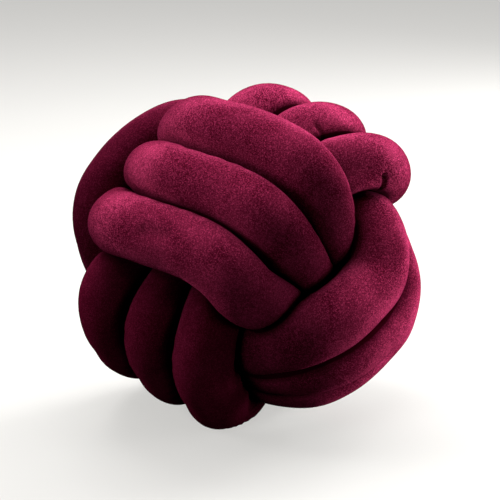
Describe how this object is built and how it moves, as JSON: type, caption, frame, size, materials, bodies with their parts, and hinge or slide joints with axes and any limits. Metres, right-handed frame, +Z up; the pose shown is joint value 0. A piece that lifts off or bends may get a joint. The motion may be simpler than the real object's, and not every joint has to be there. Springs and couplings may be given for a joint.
{
  "type": "knot cushion",
  "caption": "Ball-shaped knot cushion: a long stuffed velvet tube wound into a tight ball knot with its ends tucked inside.",
  "frame": {"origin": "on the surface the ball rests on, under the middle of its bounding box", "axes": "+Z up, +X to the right and +Y away as seen from the front, where the front band's three turns run down to the right"},
  "size_m": [0.2766, 0.2884, 0.2593],
  "materials": {
    "burgundy_velvet": "soft short-pile velvet with a bright nap at grazing angles"
  },
  "bodies": {
    "root": {"knotted_tube": "burgundy_velvet"}
  },
  "joints": []
}
